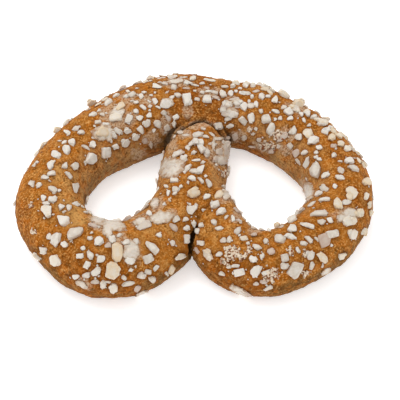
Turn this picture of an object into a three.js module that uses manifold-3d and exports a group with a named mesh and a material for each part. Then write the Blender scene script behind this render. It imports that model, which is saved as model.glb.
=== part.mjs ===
// A sweet soft pretzel, baked in one piece: a single rope of dough laid as a broad arc at the back
// and a loop on each side at the front. The left end runs back up the middle and under the arc, and
// the right end tucks under it. The dough has risen unevenly and rests on a flat, tray-baked underside.
// Millimetres, +Z up. +X runs along the width and +Y towards the arc. The origin is the middle of
// the underside.
import * as THREE from "three";
import { mergeVertices } from "three/addons/utils/BufferGeometryUtils.js";
import Module from "manifold-3d";

// Driving dimensions of the dough rope.
const SIDES = 28; // corners of one cross-section
const STEPS = 4; // cross-sections from one station to the next
const SUNK_SHARE = 0.14; // how far the section's full ellipse would reach below the tray, by height
const CREST_FULLNESS = 0.93; // below 1 the section is a little boxier than an ellipse, as risen dough is
// The rope swells and thins a little as it runs, by a share of its girth. Each swell winds round it:
// radians of its wave for each millimetre along, and waves around.
const SWELL_SHARE = 0.012;
const SWELLS = [
  { along: 0.23, around: 2 },
  { along: 0.39, around: -3 },
];
const CLOSE = 1e-4; // corners nearer than this are one corner
const CRUST = { color: 0xb8742e, roughness: 0.7, metalness: 0 };

// The rope's middle line seen from above, with its width and height, from the end under the arc,
// down the middle, round the left loop, over the arc, round the right loop and back to the middle.
const LEFT_LOOP = [
  { x: 3.5, y: 42, width: 17, height: 12 },
  { x: 2, y: 34.5, width: 21, height: 15.7 },
  { x: 0.5, y: 25, width: 23, height: 17.5 },
  { x: -1, y: 13, width: 23.5, height: 18.5 },
  { x: -3.5, y: 2, width: 23, height: 18.5 },
  { x: -9.5, y: -9, width: 22.5, height: 18.5 },
  { x: -18, y: -18, width: 25, height: 19.5 },
  { x: -30, y: -20.8, width: 26, height: 20 },
  { x: -40.4, y: -14, width: 24, height: 19 },
  { x: -47.8, y: -1, width: 23.5, height: 18.5 },
  { x: -46, y: 13.6, width: 23, height: 18.5 },
  { x: -36.5, y: 27.4, width: 24, height: 18.5 },
];
const ARC = [
  { x: -22.8, y: 37.8, width: 26.5, height: 20 },
  { x: -9, y: 44.2, width: 26.5, height: 20.5 },
  { x: 3, y: 45.6, width: 25, height: 19.8 },
  { x: 12, y: 43.8, width: 23, height: 18.8 },
  { x: 21, y: 41.6, width: 24, height: 19.2 },
];
const RIGHT_LOOP = [
  { x: 32.5, y: 34, width: 23.5, height: 18.5 },
  { x: 43.5, y: 22, width: 23, height: 18 },
  { x: 48.8, y: 7.5, width: 22.5, height: 18 },
  { x: 44.7, y: -6.2, width: 22.5, height: 18 },
  { x: 34.7, y: -16.8, width: 22, height: 17.5 },
  { x: 22.5, y: -21.8, width: 22, height: 17.5 },
  { x: 11.6, y: -17, width: 22, height: 17.5 },
  { x: 7.2, y: -7, width: 20.5, height: 17 },
  { x: 6.4, y: 2.4, width: 16, height: 15.5 },
  { x: 3.5, y: 9.5, width: 9, height: 10 },
];

const stations = [...LEFT_LOOP, ...ARC, ...RIGHT_LOOP];
const line = new THREE.CatmullRomCurve3(
  stations.map((s) => new THREE.Vector3(s.x, s.y, 0)),
  false,
  "centripetal",
);
const girth = new THREE.CatmullRomCurve3(
  stations.map((s) => new THREE.Vector3(s.width, s.height, 0)),
  false,
  "catmullrom",
);

const fuller = (share) => Math.sign(share) * Math.abs(share) ** CREST_FULLNESS;

// One cross-section of the rope at a share t of the line: an ellipse, cut flat where it meets the tray.
function section(t) {
  const middle = line.getPoint(t);
  const along = line.getTangent(t).setZ(0).normalize();
  const across = new THREE.Vector3(-along.y, along.x, 0);
  const { x: width, y: height } = girth.getPoint(t);
  const fullHeight = height * (1 + SUNK_SHARE);
  const centre = height - fullHeight / 2;
  const travelled = t * line.getLength();
  return Array.from({ length: SIDES }, (_, i) => {
    const angle = (2 * Math.PI * i) / SIDES;
    const swell = SWELLS.reduce(
      (sum, s) => sum + SWELL_SHARE * Math.sin(s.along * travelled + s.around * angle),
      1,
    );
    const out = (width / 2) * fuller(Math.cos(angle)) * swell;
    const up = centre + (fullHeight / 2) * fuller(Math.sin(angle)) * swell;
    return middle.clone().addScaledVector(across, out).setZ(Math.max(0, up));
  });
}

// A closed length of rope from one station to another, with flat ends.
function rope(from, to) {
  const last = stations.length - 1;
  const rings = [];
  for (let k = from * STEPS; k <= to * STEPS; k++) rings.push(section(k / (last * STEPS)));
  const points = rings.flat();
  const faces = [];
  for (let r = 0; r + 1 < rings.length; r++)
    for (let i = 0; i < SIDES; i++) {
      const next = (i + 1) % SIDES;
      const [a, b] = [r * SIDES + i, r * SIDES + next];
      faces.push(a, b, b + SIDES, a, b + SIDES, a + SIDES);
    }
  const end = (rings.length - 1) * SIDES;
  for (let i = 1; i + 1 < SIDES; i++) {
    faces.push(0, i + 1, i);
    faces.push(end, end + i, end + i + 1);
  }
  const geometry = new THREE.BufferGeometry().setFromPoints(points);
  geometry.setIndex(faces);
  return geometry;
}

const wasm = await Module();
wasm.setup();

function solid(geometry) {
  const merged = mergeVertices(geometry, CLOSE);
  return new wasm.Manifold(
    new wasm.Mesh({
      numProp: 3,
      vertProperties: merged.attributes.position.array,
      triVerts: new Uint32Array(merged.index.array),
    }),
  );
}

function geometryOf(made) {
  const { vertProperties, triVerts } = made.getMesh();
  const geometry = new THREE.BufferGeometry();
  geometry.setAttribute("position", new THREE.BufferAttribute(new Float32Array(vertProperties), 3));
  geometry.setIndex(new THREE.BufferAttribute(new Uint32Array(triVerts), 1));
  geometry.computeVertexNormals();
  return geometry;
}

const arcStart = LEFT_LOOP.length;
const arcEnd = arcStart + ARC.length - 1;
const dough = [
  rope(0, arcStart),
  rope(arcStart, arcEnd),
  rope(arcEnd, stations.length - 1),
]
  .map(solid)
  .reduce((whole, strand) => whole.add(strand));

const pretzel = new THREE.Mesh(geometryOf(dough), new THREE.MeshStandardMaterial(CRUST));
pretzel.name = "pretzel";
pretzel.geometry.computeBoundingBox();
const middle = pretzel.geometry.boundingBox.getCenter(new THREE.Vector3());
pretzel.geometry.translate(-middle.x, -middle.y, 0);

const part = new THREE.Group();
part.add(pretzel);
export default part;
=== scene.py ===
"""A sweet soft pretzel: the baked dough with its browned crust, and all the sugar on it."""
import math
from collections import namedtuple

import bpy
import numpy as np
from mathutils import Matrix, Vector, noise
from mathutils.bvhtree import BVHTree


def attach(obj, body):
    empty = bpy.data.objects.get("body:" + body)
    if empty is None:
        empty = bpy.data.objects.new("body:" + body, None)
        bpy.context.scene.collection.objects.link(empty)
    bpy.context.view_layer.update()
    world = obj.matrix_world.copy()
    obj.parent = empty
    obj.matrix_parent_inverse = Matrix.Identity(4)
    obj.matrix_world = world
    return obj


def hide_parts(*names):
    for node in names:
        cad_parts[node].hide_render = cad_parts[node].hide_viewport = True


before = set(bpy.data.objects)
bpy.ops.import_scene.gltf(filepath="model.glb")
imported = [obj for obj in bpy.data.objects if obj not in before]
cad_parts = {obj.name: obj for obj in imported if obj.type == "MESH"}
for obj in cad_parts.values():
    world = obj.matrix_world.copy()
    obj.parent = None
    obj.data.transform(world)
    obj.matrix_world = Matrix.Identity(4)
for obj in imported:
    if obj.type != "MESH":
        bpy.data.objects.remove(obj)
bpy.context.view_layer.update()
MM = 0.001
BODY = "root"


def colour(red, green, blue):
    """A colour written as it is seen, 0 to 255, in the linear values that a shader takes."""
    def linear(level):
        share = level / 255
        return share / 12.92 if share <= 0.04045 else ((share + 0.055) / 1.055) ** 2.4
    return (linear(red), linear(green), linear(blue), 1.0)


# The camera looks down on the pretzel from the front, as the photograph does.
PHOTO_PIXELS = 400
CAMERA_ELEVATION = math.radians(50)
CAMERA_DISTANCE = 520 * MM
CAMERA_TARGET = Vector((1.8, -8.1, 9)) * MM
NEAREST_SEEN = 10 * MM
SENSOR_WIDTH = 36
WIDTH_SEEN = 134 * MM
CAMERA_BACK = Vector((0, -math.cos(CAMERA_ELEVATION), math.sin(CAMERA_ELEVATION)))
CAMERA_RIGHT = Vector((1, 0, 0))
CAMERA_UP = CAMERA_BACK.cross(CAMERA_RIGHT)
CAMERA_PLACE = CAMERA_TARGET + CAMERA_BACK * CAMERA_DISTANCE
PIXEL = WIDTH_SEEN / PHOTO_PIXELS
# Where a line of sight misses the dough, the nearest crust is looked for at these distances, in
# millimetres, before and behind the point that the camera aims at.
MISSED_SEARCH = range(-40, 41, 2)
# A point up to this far behind the crust still counts as seen.
SEEN_SLACK = 1 * MM

# The dough's mesh: the CAD solid in voxels, smoothed in two rounds.
MERGED_CLOSE = 0.01 * MM
DOUGH_GRAIN = 0.55 * MM
SMOOTHING = 0.8
FIRST_ROUND = 4
SECOND_ROUND = 26
# How far the dough is let out, as the smoothing shrinks it, and how far the flanks that face the
# openings are drawn in.
SHRINKAGE = 0.2 * MM
OPENING_EASE = 0.7 * MM
# The hollow where two strands meet: how far a corner lies below its neighbours, how widely and sharply
# that is spread, how far the hollow is sunk, and how dark the shade painted in it is.
CREASE_HOLLOW = (0.015 * MM, 0.05 * MM)
CREASE_SPREAD = 3
CREASE_EDGE = (0.1, 0.6)
CREASE_DEPTH = 0.9 * MM
CREASE_SHADE = 0.7
# Corners lower than this are kept from sinking below the tray.
UNDERSIDE_REACH = 1 * MM
# Lumps of the risen dough: name, size and height.
LUMPS = (
    ("broad_lumps", 9 * MM, 1.0 * MM),
    ("small_lumps", 3.5 * MM, 0.4 * MM),
    ("crust_grain", 1.4 * MM, 0.45 * MM),
)
# Creases where one strand lies on another, and cracks at the foot of both loops: pixels along each in
# the photograph, and its half width and depth in millimetres.
CREASES = (
    (((212, 201), (208, 204), (203, 210), (199, 218), (196, 226)), 0.5, 0.9),
    (((196, 226), (193, 234), (191, 242), (190, 250), (190, 258)), 0.5, 3.0),
    (((92, 288), (99, 292), (106, 296), (114, 296), (122, 294), (132, 291)), 0.35, 0.6),
    (((206, 270), (216, 279), (227, 287)), 0.35, 0.4),
    (((165, 148), (168, 140), (173, 134), (180, 129), (188, 125), (196, 121), (204, 120), (212, 124),
      (219, 130), (226, 137), (232, 146)), 0.8, 2.6),
    (((211, 160), (219, 163), (228, 165)), 0.8, 0.6),
)
CREASE_STEP = 0.3 * MM
# A crease of this depth in millimetres or more gets the darkest painted shade.
DARKEST_DEPTH = 2.2
# Places where two strands run into each other smoothly: pixel, reach in millimetres, passes.
JOINED_PLACES = (
    (229, 188, 6, 60), (206, 204, 6.5, 90), (200, 213, 5.5, 70), (170, 205, 5, 20), (243, 210, 6, 60),
    (182, 124, 4.5, 20), (196, 119, 5, 20), (212, 124, 4.5, 20), (171, 136, 4, 20), (229, 135, 4, 30),
)
# The crust browns with height and facing up, and by the tray darkens with tray browning and painted
# shadow, less so below.
BROWNED_HEIGHT = (1 * MM, 13 * MM)
BROWNED_FACING = (-0.3, 0.75)
BROWNED_SPREAD = 8
TRAY_SIDE = (0.3 * MM, 2.2 * MM)
UNDERSIDE_FACING = (0.6, 0.95)
UNDERSIDE_PALER = 0.5
# Where the photograph shows the crust darker (above 0) or paler: pixel, reach in millimetres, strength.
TOASTED_PLACES = (
    (205, 85, 14, 0.7), (205, 103, 9, 0.5), (300, 122, 14, 0.5), (347, 178, 13, 0.6),
    (362, 200, 10, 0.5), (178, 196, 8, 0.4), (95, 263, 10, 0.5), (130, 286, 12, 0.6),
    (262, 266, 12, 0.4), (22, 203, 11, 0.8), (150, 85, 10, 0.3), (335, 250, 9, 0.4),
    (62, 180, 12, -0.6), (72, 216, 11, -0.7), (85, 215, 8, -0.5), (145, 234, 9, -0.5),
    (30, 232, 10, 0.9), (64, 272, 9, 0.9), (254, 287, 9, 0.7), (228, 280, 9, 0.8),
    (115, 292, 9, 0.6), (165, 188, 7, 0.4), (244, 147, 6, 1.0), (262, 157, 6, 0.9),
    (150, 155, 5, 0.7), (212, 232, 8, -0.5), (100, 222, 8, -0.3), (325, 172, 9, -0.3),
    (270, 240, 8, -0.3),
)
# The middles of the two openings, seen from above, in millimetres. The flanks that face one from
# close by bake paler.
OPENINGS = ((-23, 4), (24, 4))
OPENING_FACING = (0.2, 0.85)
OPENING_NEAR = (24 * MM, 34 * MM)

# The crust's colours.
GOLDEN_CREST = colour(172, 104, 32)
OLIVE_FLANK = colour(130, 89, 40)
FLANK_BROWN = colour(96, 60, 22)
SHELTERED_TAN = colour(184, 146, 100)
TOASTED_BROWN = colour(140, 75, 14)
PALE_TAN = colour(198, 148, 84)
ORANGE_FLECK = colour(186, 101, 16)
DULL_FLECK = colour(180, 138, 84)
LIGHT_FLECK = colour(224, 167, 99)
DARK_FLECK = colour(84, 46, 6)
STREAK_BROWN = colour(92, 60, 26)
# Partly tray browning, partly painted shadow at the foot.
TRAY_BROWN_AND_SHADOW = colour(66, 43, 18)
# Painted shade in the crust's pores.
PORE_SHADE_BROWN = colour(80, 46, 18)
# Painted shade in the creases and cracks.
CREASE_SHADOW_BROWN = colour(24, 14, 7)
# Caramel and painted contact shade beside the nibs.
CARAMEL_AND_NIB_SHADE = colour(112, 56, 8)
HAZE_GREY = colour(198, 172, 144)
# The sugar's colours.
WHITE_SUGAR = colour(217, 209, 198)
GREY_SUGAR = colour(196, 183, 168)
CREAM_SUGAR = colour(216, 206, 191)
YELLOW_SUGAR = colour(212, 189, 157)
CLEAR_SUGAR = colour(200, 187, 172)
PINK_SUGAR = colour(186, 162, 146)
SUGAR_SHADE = colour(176, 158, 138)
SUGAR_BASE = colour(190, 154, 122)
FILM_WHITE = colour(209, 197, 183)
FILM_GREY = colour(188, 167, 144)
FILM_BROWN = colour(150, 98, 50)
BUBBLE_WHITE = colour(220, 200, 176)
BUBBLE_BROWN = colour(150, 84, 30)

# The sugar nibs that the photograph shows, kind by kind and place by place. Each is the pixel that it
# lies on, its length and width in pixels, the degrees that it is turned there, and its form. A nib
# without a form is a lump, and one without a turn isn't turned.
BLOCK, WEDGE, LUMP, BAR = "block", "wedge", "lump", "bar"
Nib = namedtuple("Nib", "x y length width turned form", defaults=(0, LUMP))
WHITE_NIBS = {
    "left_loop": (
        (72, 142, 10, 8, -45, BLOCK), (66, 149, 11, 10, 70), (64, 142, 6, 5, 30),
        (56, 154, 11, 9, -10, BLOCK), (65, 165, 8, 6, 80, WEDGE), (76, 166, 10, 8, 35, BLOCK),
        (51, 173, 9, 7, 20), (45, 177, 8, 5, -8, BLOCK), (69, 175, 10, 5, -55, BAR),
        (92, 159, 12, 12, -20, BLOCK), (93, 144, 9, 7, 80, BLOCK), (86, 147, 10, 4, -25, BAR),
        (81, 132, 8, 6, 10, BLOCK), (67, 132, 9, 5, -30, BAR), (107, 153, 11, 12, 0, WEDGE),
        (31, 184, 8, 8, 180, WEDGE), (39, 185, 7, 6, 30, BLOCK), (53, 189, 11, 7, -40),
        (76, 188, 11, 8, -90, WEDGE), (43, 198, 7, 6, 60), (53, 199, 10, 8, 5),
        (62, 206, 7, 7, 20, WEDGE), (69, 207, 9, 6, 60), (76, 204, 9, 6, -20), (37, 162, 5, 4),
        (50, 165, 9, 8, 60), (126, 143, 10, 10, 10, BLOCK), (136, 137, 9, 8, 0, BLOCK),
        (116, 147, 7, 7, 45, WEDGE), (46, 203, 8, 5),
    ),
    "front_left": (
        (63, 220, 12, 13, -90, WEDGE), (75, 232, 17, 11, 20, BLOCK), (56, 239, 15, 11, 65, BLOCK),
        (49, 236, 7, 6, 80, BLOCK), (64, 244, 8, 7), (43, 250, 9, 9, 30, WEDGE),
        (99, 241, 10, 10, 10, BLOCK), (90, 238, 6, 5), (83, 248, 5, 5), (80, 256, 8, 6, 20, WEDGE),
        (90, 255, 10, 7, -70), (101, 259, 8, 7, 0, BLOCK), (87, 265, 8, 7, 80, WEDGE),
        (96, 272, 12, 7, 38), (86, 275, 9, 6, -8), (76, 277, 8, 5, 8, BLOCK), (103, 285, 9, 8, 60),
        (112, 239, 9, 8, 80), (136, 241, 7, 6, 80), (152, 247, 16, 8, -42, BAR),
        (149, 259, 11, 9, 20, WEDGE), (159, 235, 6, 5, -20, BLOCK), (173, 243, 6, 6, 30, BLOCK),
        (149, 213, 7, 7, 0, BLOCK), (176, 219, 9, 6, 25), (186, 219, 6, 6, 80, BLOCK),
        (187, 228, 8, 6, -5), (187, 239, 9, 7, -90, WEDGE), (156, 268, 7, 5, 48, BLOCK),
        (148, 272, 8, 5, -15, BLOCK), (142, 276, 10, 8, -5), (153, 280, 8, 8, 20, BLOCK),
        (124, 278, 6, 5, -20), (128, 284, 13, 6, 15), (131, 270, 5, 4), (126, 242, 8, 6, 10),
        (130, 261, 10, 7, -10), (166, 273, 8, 3, -50, BAR), (119, 235, 6, 4, 35),
        (192, 210, 11, 11, -90, WEDGE),
    ),
    "middle": (
        (198, 134, 12, 7, 15, BLOCK), (206, 136, 7, 4, -5, BAR), (188, 147, 7, 6, 60, WEDGE),
        (196, 141, 10, 9, 60, BLOCK), (201, 147, 14, 8, -50, BAR), (207, 152, 11, 9, -60, BLOCK),
        (191, 143, 10, 6, 50, BAR), (200, 142, 8, 7, 0, BLOCK), (203, 150, 9, 8, -50, BLOCK),
        (194, 152, 6, 6), (177, 153, 12, 7, 25, WEDGE), (184, 158, 9, 8, -70, BLOCK),
        (188, 167, 11, 6, 45, WEDGE), (196, 160, 9, 3, 5, BAR), (203, 162, 5, 5),
        (195, 171, 12, 7, -5, BLOCK), (201, 168, 12, 7, 60, WEDGE), (192, 178, 9, 6, -15, BLOCK),
        (201, 180, 9, 4, -50, BAR), (188, 182, 4, 3, 40), (209, 183, 10, 6, -70),
        (207, 196, 8, 6, 10, BLOCK), (176, 189, 8, 7, 0, BLOCK), (174, 180, 9, 6, 0, WEDGE),
        (166, 186, 7, 4, -20), (168, 193, 7, 4, 70), (215, 204, 12, 9, 30, WEDGE),
        (204, 210, 5, 4, 30, WEDGE), (219, 126, 11, 9, 30, WEDGE), (230, 126, 9, 5, 10),
    ),
    "front_right": (
        (221, 211, 12, 8, 20, BLOCK), (201, 225, 6, 5, 10, BLOCK), (197, 231, 6, 5, 80, BLOCK),
        (214, 222, 8, 6, -30, BLOCK), (219, 228, 9, 5, 5), (200, 243, 9, 6, 10, WEDGE),
        (194, 224, 8, 6, 80), (238, 230, 11, 6, 52, BLOCK), (219, 254, 8, 5, 10),
        (229, 239, 8, 5, 80, BLOCK), (226, 217, 7, 3, 50, BAR), (233, 218, 9, 4, -75, BAR),
        (257, 247, 10, 6, -12, BLOCK), (253, 259, 9, 7, -20), (262, 256, 8, 5, 60),
        (266, 241, 6, 6, 30, BLOCK), (280, 238, 11, 10, 0, BLOCK), (288, 235, 10, 6, 10),
        (285, 258, 8, 8, 10, BLOCK), (285, 266, 9, 7, 0, BLOCK), (256, 271, 15, 9, 48, BLOCK),
        (239, 273, 12, 8, 10, WEDGE), (222, 274, 7, 5, -30, BLOCK), (268, 288, 10, 5, 20),
        (229, 267, 6, 4), (236, 266, 9, 4, 5), (248, 243, 4, 4), (266, 272, 9, 5, 40, WEDGE),
        (296, 270, 17, 14, 60, BLOCK), (312, 266, 9, 5, 75), (311, 255, 10, 10, 20, BLOCK),
        (298, 250, 7, 4, -60), (304, 243, 8, 5, -5, BLOCK), (309, 239, 11, 5, -45, BAR),
        (317, 239, 6, 3, -45, BAR), (293, 228, 11, 9, 60, BLOCK), (293, 237, 9, 6, -20, WEDGE),
    ),
    "right_loop": (
        (334, 155, 6, 6, 20, BLOCK), (304, 152, 9, 6, 15), (306, 163, 14, 7, 80, WEDGE),
        (299, 137, 8, 8, 45, BLOCK), (313, 140, 13, 10, 15, BLOCK), (293, 130, 11, 8, 80, WEDGE),
        (350, 160, 12, 9, 0, BLOCK), (340, 161, 5, 3), (354, 168, 13, 7, -28, BLOCK),
        (325, 175, 10, 7, 35, BLOCK), (324, 188, 12, 7, -30, BLOCK), (318, 193, 9, 7, 35, BLOCK),
        (324, 199, 12, 6, 10), (312, 204, 10, 5, 38, BLOCK), (347, 202, 10, 6, 5, BLOCK),
        (319, 213, 18, 7, 3, BAR), (322, 222, 9, 6, 12, BLOCK), (330, 220, 7, 5, -60, BLOCK),
        (307, 225, 16, 5, -15, BAR), (333, 234, 15, 8, 10, WEDGE), (316, 152, 5, 5), (316, 157, 5, 4, 20),
        (319, 147, 7, 6), (290, 146, 7, 6, -50, BLOCK), (335, 186, 6, 5, -60),
        (315, 169, 16, 12, 70, BLOCK), (271, 129, 13, 8, 65, BLOCK), (340, 177, 10, 6, -15),
    ),
    "arc": (
        (108, 102, 10, 7, 35, BLOCK), (116, 95, 9, 6, 30, BLOCK), (93, 114, 9, 7, 5),
        (98, 122, 7, 5, 10, WEDGE), (106, 124, 8, 4, -5), (129, 119, 12, 8, 80, WEDGE), (126, 96, 6, 6),
        (132, 94, 9, 7, 20), (141, 96, 7, 5, -60, BLOCK), (144, 92, 6, 4), (136, 102, 6, 4),
        (143, 107, 8, 5, -30), (150, 106, 5, 5), (136, 111, 6, 6, 0, BLOCK), (140, 118, 8, 6, 15, BLOCK),
        (149, 115, 6, 6), (147, 123, 10, 8, 40, BLOCK), (141, 130, 9, 7, -50, WEDGE),
        (118, 131, 10, 6, -30), (128, 131, 9, 7, -20, BLOCK), (114, 135, 9, 5, -60),
        (158, 124, 10, 8, -20, BLOCK), (164, 113, 6, 5, -40, BLOCK), (176, 117, 8, 6, 50, WEDGE),
        (174, 124, 8, 5, 80), (166, 104, 12, 10, -10, BLOCK), (155, 101, 8, 5, -60, BLOCK),
        (157, 86, 10, 6, -15, WEDGE), (174, 87, 7, 6, 70, BLOCK), (178, 95, 8, 6, 0, BLOCK),
        (187, 99, 15, 10, -80, WEDGE), (187, 83, 7, 4, -10), (202, 92, 5, 5), (207, 99, 10, 9, 0, BLOCK),
        (214, 92, 9, 4, -15, BAR), (223, 94, 9, 8, -30, BLOCK), (225, 86, 8, 5, -10),
        (233, 85, 6, 6, 0, BLOCK), (240, 88, 5, 4), (246, 85, 8, 7, 60, BLOCK), (246, 93, 11, 5, -10),
        (252, 96, 6, 5, -60, BLOCK), (262, 96, 9, 7, 70, BLOCK), (268, 96, 6, 5),
        (275, 99, 12, 7, 80, WEDGE), (289, 111, 10, 9, -40, BLOCK), (284, 107, 6, 5, 0, BLOCK),
        (276, 111, 9, 5, -28), (261, 111, 6, 5, 80), (266, 119, 10, 10, 10, BLOCK), (280, 118, 5, 5),
        (251, 118, 12, 8, 85), (244, 106, 9, 8, 60, BLOCK), (256, 104, 8, 5, 80, BLOCK), (251, 104, 7, 4),
        (243, 121, 10, 7, -45, BLOCK), (233, 114, 12, 8, 5, BLOCK), (228, 119, 9, 5, 25),
        (224, 103, 8, 5, 60), (231, 104, 7, 4, 80), (237, 103, 8, 7), (223, 110, 7, 6, 0, BLOCK),
        (304, 120, 7, 4, -55, BAR), (322, 123, 11, 7, 0, BLOCK), (327, 129, 9, 6), (290, 118, 7, 5, 10),
        (301, 114, 6, 5, 80), (307, 113, 9, 7, 80), (314, 116, 8, 7), (136, 83, 8, 3, 20),
        (184, 77, 8, 3), (188, 82, 11, 4, -15, WEDGE), (195, 85, 9, 3, -10, BAR), (151, 95, 4, 3),
        (172, 97, 7, 4, 30, BLOCK), (208, 91, 9, 3, 5, BAR), (158, 107, 6, 3, -20),
        (231, 93, 8, 6, 60, BLOCK), (236, 91, 4, 4), (243, 93, 9, 5, -10), (240, 101, 6, 5),
        (309, 125, 5, 4), (331, 127, 7, 5, -20), (325, 131, 8, 7, -20, BLOCK),
    ),
}
CREAM_NIBS = {
    "left_loop": (
        (103, 132, 18, 14, 5), (46, 211, 15, 11, 85), (57, 130, 8, 7, -10, BLOCK), (42, 145, 10, 5, 50),
        (34, 152, 7, 4, 60), (54, 261, 13, 13, 30, BLOCK), (52, 162, 8, 6, 20),
    ),
    "front": (
        (117, 252, 20, 12, -80), (113, 271, 18, 14, 80), (113, 289, 12, 9, 80), (181, 257, 16, 9, 20),
        (172, 270, 10, 8, 70), (207, 255, 14, 11, -70, BLOCK), (194, 192, 15, 12, 5),
        (219, 194, 11, 10, 20), (323, 258, 16, 8, -50, BLOCK), (343, 256, 10, 9, 30, WEDGE),
        (244, 238, 9, 6, -8), (37, 256, 10, 8, -20),
    ),
    "right": (
        (368, 181, 15, 10, 5, BLOCK), (338, 204, 13, 10, -50, BLOCK), (354, 234, 13, 12, 20, BLOCK),
        (348, 221, 12, 10, 20), (359, 213, 12, 9, -20), (352, 192, 14, 10, -50, BLOCK),
        (308, 133, 13, 11, 80), (332, 137, 9, 9, 0, BLOCK), (341, 144, 8, 7), (348, 148, 9, 9),
        (357, 153, 7, 5, -60), (363, 164, 10, 5, -50), (363, 231, 8, 7, 60), (367, 196, 10, 7, 80),
        (370, 204, 9, 7, 80), (277, 226, 8, 7, 70), (371, 213, 7, 6, 60), (236, 83, 9, 6, -10),
        (246, 84, 9, 8), (253, 85, 6, 6, 0, BLOCK), (265, 87, 10, 7, -20), (272, 91, 7, 6, -40),
        (284, 95, 15, 9, -40, BLOCK), (298, 104, 13, 10, -20), (323, 121, 12, 9, -20),
        (307, 112, 8, 9, -30, BLOCK), (318, 119, 8, 6, -20), (326, 121, 9, 6, -20),
        (334, 131, 9, 7, -40, BLOCK), (339, 135, 9, 7, -30), (345, 138, 9, 6, -50),
        (341, 143, 8, 7, 0, BLOCK), (352, 149, 8, 6, -60), (359, 160, 8, 6, -60), (364, 165, 7, 7, -60),
        (370, 205, 6, 9), (371, 213, 5, 7), (361, 213, 9, 9, 0, BLOCK), (365, 232, 6, 9),
        (353, 221, 10, 8, 0, BLOCK), (350, 196, 9, 8, -60, BLOCK),
    ),
    "arc": (
        (92, 103, 11, 9, 0, BLOCK), (105, 99, 9, 4, 25), (115, 117, 14, 12, 20), (120, 106, 12, 8, 30),
        (122, 88, 11, 5, 35), (151, 78, 9, 5, 10), (172, 76, 12, 4, 5, WEDGE),
        (193, 78, 10, 6, 20, WEDGE), (210, 80, 14, 4, -10), (98, 104, 9, 4, 30), (128, 91, 7, 5, -20),
        (145, 82, 8, 4, 20), (236, 82, 7, 4), (265, 89, 9, 6, -20), (270, 92, 8, 6, -40),
        (297, 111, 7, 6), (259, 85, 8, 7), (267, 87, 10, 4, -10), (299, 103, 13, 10, 5), (292, 106, 8, 7),
        (284, 96, 14, 6, -40), (326, 119, 9, 5, -10), (342, 135, 11, 5, -35),
    ),
}
CLEAR_NIBS = {
    "left": (
        (171, 166, 13, 10, 10), (176, 162, 8, 5, -20), (76, 128, 10, 8, 20), (94, 137, 6, 5),
        (93, 225, 10, 6, -15), (108, 245, 7, 6), (95, 282, 9, 6), (144, 225, 16, 10, 18),
        (174, 227, 10, 7, -50), (137, 289, 9, 8, 60), (102, 114, 6, 5), (145, 141, 7, 7),
        (151, 145, 9, 5, 85), (155, 205, 10, 7, 60), (127, 219, 11, 6, 20), (137, 213, 9, 4, 35),
    ),
    "arc": (
        (137, 88, 5, 3), (161, 78, 10, 4, 10), (165, 83, 7, 6), (150, 78, 8, 6, 10), (172, 77, 9, 6, 10),
        (193, 77, 8, 6, 10), (123, 89, 9, 7, 20), (139, 83, 8, 5, 20), (104, 99, 8, 5, 25),
        (173, 82, 9, 5, 10), (180, 79, 6, 5), (202, 83, 6, 4), (186, 88, 8, 3), (207, 88, 6, 3, -20),
        (167, 92, 6, 3, 30), (197, 99, 6, 5), (216, 97, 8, 5, -20), (168, 118, 9, 5, -60),
        (167, 128, 8, 8), (180, 132, 8, 6), (186, 135, 8, 4), (253, 86, 6, 5), (256, 91, 8, 4, 10),
        (235, 99, 12, 5, 5), (237, 107, 8, 3), (224, 108, 8, 7, -20), (226, 114, 10, 7, -30),
        (259, 140, 6, 5), (253, 134, 5, 4), (284, 136, 10, 7, 40), (280, 140, 9, 4, 10),
    ),
    "right": (
        (227, 146, 9, 7, -40), (223, 187, 6, 5), (236, 210, 9, 4, -30), (239, 220, 7, 5, -20),
        (223, 240, 7, 6), (254, 234, 7, 6), (271, 251, 8, 8), (325, 240, 13, 13, 20, BLOCK),
        (235, 137, 8, 8, 30, BLOCK), (227, 138, 7, 4), (244, 138, 7, 6, 80), (252, 147, 8, 4, -10),
        (271, 151, 8, 6), (296, 153, 9, 8, 40, BLOCK), (298, 162, 9, 4, -50, BAR), (180, 152, 12, 8, -10),
        (308, 186, 9, 8), (334, 146, 8, 6), (226, 144, 9, 9, -30), (220, 152, 13, 8, 10),
        (216, 159, 9, 8), (226, 160, 9, 9), (213, 144, 5, 11, 80), (309, 187, 8, 6), (302, 211, 9, 8, 30),
        (341, 170, 9, 7, -50), (282, 227, 7, 4), (256, 284, 6, 5), (264, 282, 8, 5),
        (197, 251, 9, 5, -55), (212, 134, 9, 4, -40), (242, 291, 22, 6, -28),
    ),
}
# Patches on the crust: pixel, length and width in pixels, and the degrees turned, where they are.
Patch = namedtuple("Patch", "x y length width turned", defaults=(0,))
# Sugar that melted flat.
MELTED_PATCHES = (
    (171, 168, 31, 24, 10), (226, 150, 10, 22), (220, 160, 17, 13), (213, 145, 5, 13), (218, 139, 13, 5),
    (161, 218, 27, 14, 10), (113, 225, 30, 14, -15), (131, 251, 19, 24), (309, 192, 12, 23),
    (350, 213, 20, 12), (342, 218, 13, 10), (108, 231, 12, 16), (118, 113, 18, 14, 20),
    (82, 284, 17, 7, -35), (326, 271, 13, 6, 30), (104, 133, 26, 20), (97, 221, 16, 10, -20),
    (140, 222, 16, 10, 10), (240, 291, 26, 8, -28), (142, 293, 18, 5, 15), (155, 204, 14, 10, 60),
    (226, 196, 10, 12), (228, 104, 12, 9), (231, 113, 17, 12, 10), (251, 106, 12, 7), (167, 103, 16, 12),
    (238, 102, 14, 6), (175, 82, 22, 6, 5), (296, 109, 12, 8, -20),
)
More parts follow.
